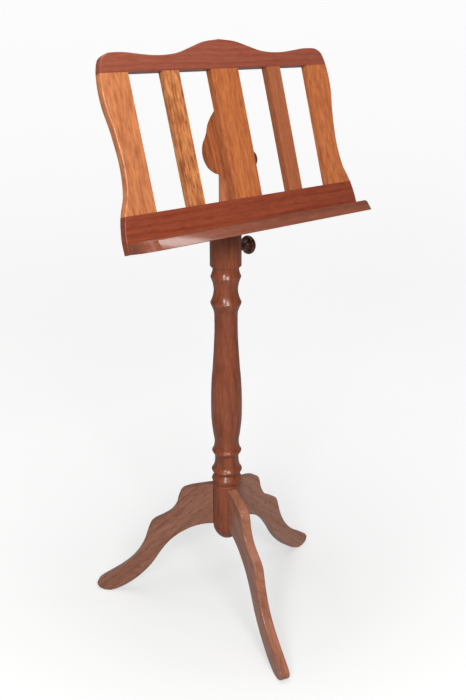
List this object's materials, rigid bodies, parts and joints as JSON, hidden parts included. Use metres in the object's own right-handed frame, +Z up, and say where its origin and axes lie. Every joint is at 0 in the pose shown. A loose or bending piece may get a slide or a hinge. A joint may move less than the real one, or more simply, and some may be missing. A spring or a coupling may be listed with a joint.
{
  "type": "music stand",
  "caption": "Wooden music stand with a scalloped slatted tilting desk and ledge on a sliding pole, held by a turned column on cabriole legs.",
  "frame": {"origin": "on the floor, under the middle of the stand's bounding box", "axes": "+Z up; the desk faces -Y, towards the player; +X is the right side as the player sees it"},
  "size_m": [0.5152, 0.4575, 1.05],
  "materials": {
    "column_wood": "satin lacquer",
    "leg_wood": "satin lacquer",
    "slat_wood": "satin lacquer",
    "rail_wood": "satin lacquer",
    "knob_wood": "polished",
    "dowel_wood": "bare",
    "brass": "turned",
    "steel": "zinc plated"
  },
  "bodies": {
    "base": {"column": "column_wood", "leg_front": "leg_wood", "leg_right": "leg_wood", "leg_left": "leg_wood", "leg_front_dowel_1": "dowel_wood", "leg_front_dowel_2": "dowel_wood", "leg_right_dowel_1": "dowel_wood", "leg_right_dowel_2": "dowel_wood", "leg_left_dowel_1": "dowel_wood", "leg_left_dowel_2": "dowel_wood", "clamp_insert": "brass"},
    "pole": {"pole": "column_wood"},
    "head": {"tilt_block": "column_wood"},
    "desk": {"desk_top_rail": "rail_wood", "desk_bottom_rail": "rail_wood", "stile_left": "slat_wood", "stile_right": "slat_wood", "slat_left": "slat_wood", "slat_centre": "slat_wood", "slat_right": "slat_wood", "ledge": "rail_wood", "ledge_screw_1": "brass", "ledge_screw_2": "brass", "ledge_screw_3": "brass", "ledge_screw_4": "brass", "stile_left_bottom_dowel_1": "dowel_wood", "stile_left_bottom_dowel_2": "dowel_wood", "stile_left_top_dowel_1": "dowel_wood", "stile_left_top_dowel_2": "dowel_wood", "stile_right_bottom_dowel_1": "dowel_wood", "stile_right_bottom_dowel_2": "dowel_wood", "stile_right_top_dowel_1": "dowel_wood", "stile_right_top_dowel_2": "dowel_wood", "bracket_cheek_left": "rail_wood", "bracket_cheek_right": "rail_wood", "bracket_cheek_left_dowel_1": "dowel_wood", "bracket_cheek_left_dowel_2": "dowel_wood", "bracket_cheek_right_dowel_1": "dowel_wood", "bracket_cheek_right_dowel_2": "dowel_wood", "tilt_bolt": "steel"},
    "clamp_shoe": {"clamp_pad": "brass"},
    "clamp_handle": {"clamp_screw": "steel", "clamp_knob": "knob_wood", "clamp_knob_insert": "brass"},
    "tilt_shoe": {"tilt_washer": "steel"},
    "tilt_handle": {"tilt_knob": "knob_wood", "tilt_knob_insert": "brass"}
  },
  "joints": [
    {"name": "height_slide", "type": "slide", "parent": "base", "child": "pole", "axis": [0, 0, 1], "range_m": [-0.01, 0.23]},
    {"name": "desk_swivel", "type": "hinge", "parent": "pole", "child": "head", "pos_m": [-0.00463, 0.02449, 0.83], "axis": [0, 0, 1], "continuous": true},
    {"name": "desk_tilt", "type": "hinge", "parent": "head", "child": "desk", "pos_m": [-0.00463, 0.02449, 0.857], "axis": [-1, 0, 0], "range_deg": [-17, 70]},
    {"name": "clamp_feed", "type": "slide", "parent": "base", "child": "clamp_shoe", "axis": [1, 0, 0], "range_m": [0, 0.0025]},
    {"name": "clamp_turn", "type": "hinge", "parent": "clamp_shoe", "child": "clamp_handle", "pos_m": [-0.00463, 0.02449, 0.7095], "axis": [1, 0, 0], "range_deg": [-1, 722]},
    {"name": "tilt_feed", "type": "slide", "parent": "desk", "child": "tilt_shoe", "axis": [1, 0, 0], "range_m": [0, 0.002]},
    {"name": "tilt_turn", "type": "hinge", "parent": "tilt_shoe", "child": "tilt_handle", "pos_m": [-0.00463, 0.02449, 0.857], "axis": [1, 0, 0], "range_deg": [-1, 722]}
  ],
  "couplings": [
    {"joint": "clamp_turn", "follows": "clamp_feed", "rad_per_m": 5026.5},
    {"joint": "tilt_turn", "follows": "tilt_feed", "rad_per_m": 6283.2}
  ]
}
